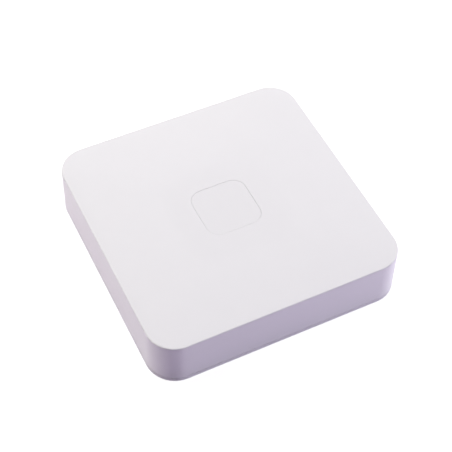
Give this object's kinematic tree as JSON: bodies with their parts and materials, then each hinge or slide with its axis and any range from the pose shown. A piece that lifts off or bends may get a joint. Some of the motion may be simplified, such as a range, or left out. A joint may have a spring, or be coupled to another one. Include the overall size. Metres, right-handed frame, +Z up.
{
  "type": "smart home hub",
  "caption": "Low square white smart-home hub with rounded corners, a light-through window on top, and rear network socket, power socket, pairing button and reset hole.",
  "frame": {"origin": "under the middle of the hub, on the plane that its rubber feet stand on", "axes": "+Z up, +Y towards the rear wall with the sockets, +X to the right seen from the front"},
  "size_m": [0.127, 0.127, 0.0264],
  "materials": {
    "cover_plastic": "satin moulded white plastic",
    "tray_plastic": "fine-textured moulded white plastic",
    "foot_rubber": "soft grey rubber, matte",
    "window_plastic": "smooth translucent white plastic",
    "guide_plastic": "matte reflective white plastic",
    "screw_steel": "zinc-plated steel",
    "lamp_resin": "clear yellowish resin",
    "board_laminate": "glass-fibre board with green solder mask",
    "chip_resin": "black moulded epoxy",
    "shield_metal": "tin-plated sheet steel",
    "antenna_metal": "gold-plated spring brass",
    "capacitor_can": "drawn aluminium can",
    "ferrite": "dark grey sintered ferrite",
    "ceramic": "small ceramic parts with tinned ends",
    "socket_plastic": "black heat-resistant plastic",
    "socket_steel": "nickel-plated folded steel",
    "contact_gold": "gold-plated spring contacts",
    "lens_plastic": "tinted clear plastic",
    "button_plastic": "light grey moulded plastic"
  },
  "bodies": {
    "housing": {"top_cover": "cover_plastic", "base_tray": "tray_plastic", "case_screws": "screw_steel", "board_screws": "screw_steel", "foot_front_left": "foot_rubber", "foot_front_right": "foot_rubber", "foot_rear_left": "foot_rubber", "foot_rear_right": "foot_rubber", "status_window": "window_plastic", "light_guide": "guide_plastic", "status_leds": "lamp_resin", "main_board": "board_laminate", "processor": "chip_resin", "memory_chip": "chip_resin", "flash_chip": "chip_resin", "processor_shield": "shield_metal", "mesh_radio_board": "board_laminate", "mesh_radio_shield": "shield_metal", "mesh_antenna": "antenna_metal", "sensor_radio_board": "board_laminate", "sensor_radio_shield": "shield_metal", "sensor_antenna": "antenna_metal", "network_transformer": "chip_resin", "filter_capacitors": "capacitor_can", "power_inductor": "ferrite", "voltage_regulators": "chip_resin", "crystal": "shield_metal", "board_passives": "ceramic", "network_jack_body": "socket_plastic", "network_jack_shell": "socket_steel", "network_jack_contacts": "contact_gold", "network_jack_lights": "lens_plastic", "power_jack_body": "socket_plastic", "power_jack_pin": "socket_steel", "power_jack_spring": "contact_gold", "pair_switch_body": "socket_plastic", "pair_switch_bracket": "shield_metal", "reset_switch_body": "socket_plastic", "reset_switch_bracket": "shield_metal"},
    "pair_button": {"pair_button": "button_plastic"},
    "pair_plunger": {"pair_switch_plunger": "chip_resin"},
    "reset_plunger": {"reset_switch_plunger": "chip_resin"}
  },
  "joints": [
    {"name": "pair_button_press", "type": "slide", "parent": "housing", "child": "pair_button", "axis": [0, -1, 0], "range_m": [0, 0.00025], "stiffness_N_per_m": 800, "springref_m": -0.001},
    {"name": "pair_plunger_press", "type": "slide", "parent": "housing", "child": "pair_plunger", "axis": [0, -1, 0], "range_m": [0, 0.00025]},
    {"name": "reset_plunger_press", "type": "slide", "parent": "housing", "child": "reset_plunger", "axis": [0, -1, 0], "range_m": [0, 0.00025], "stiffness_N_per_m": 800, "springref_m": -0.001}
  ],
  "couplings": [
    {"joint": "pair_plunger_press", "follows": "pair_button_press", "ratio": 1}
  ]
}
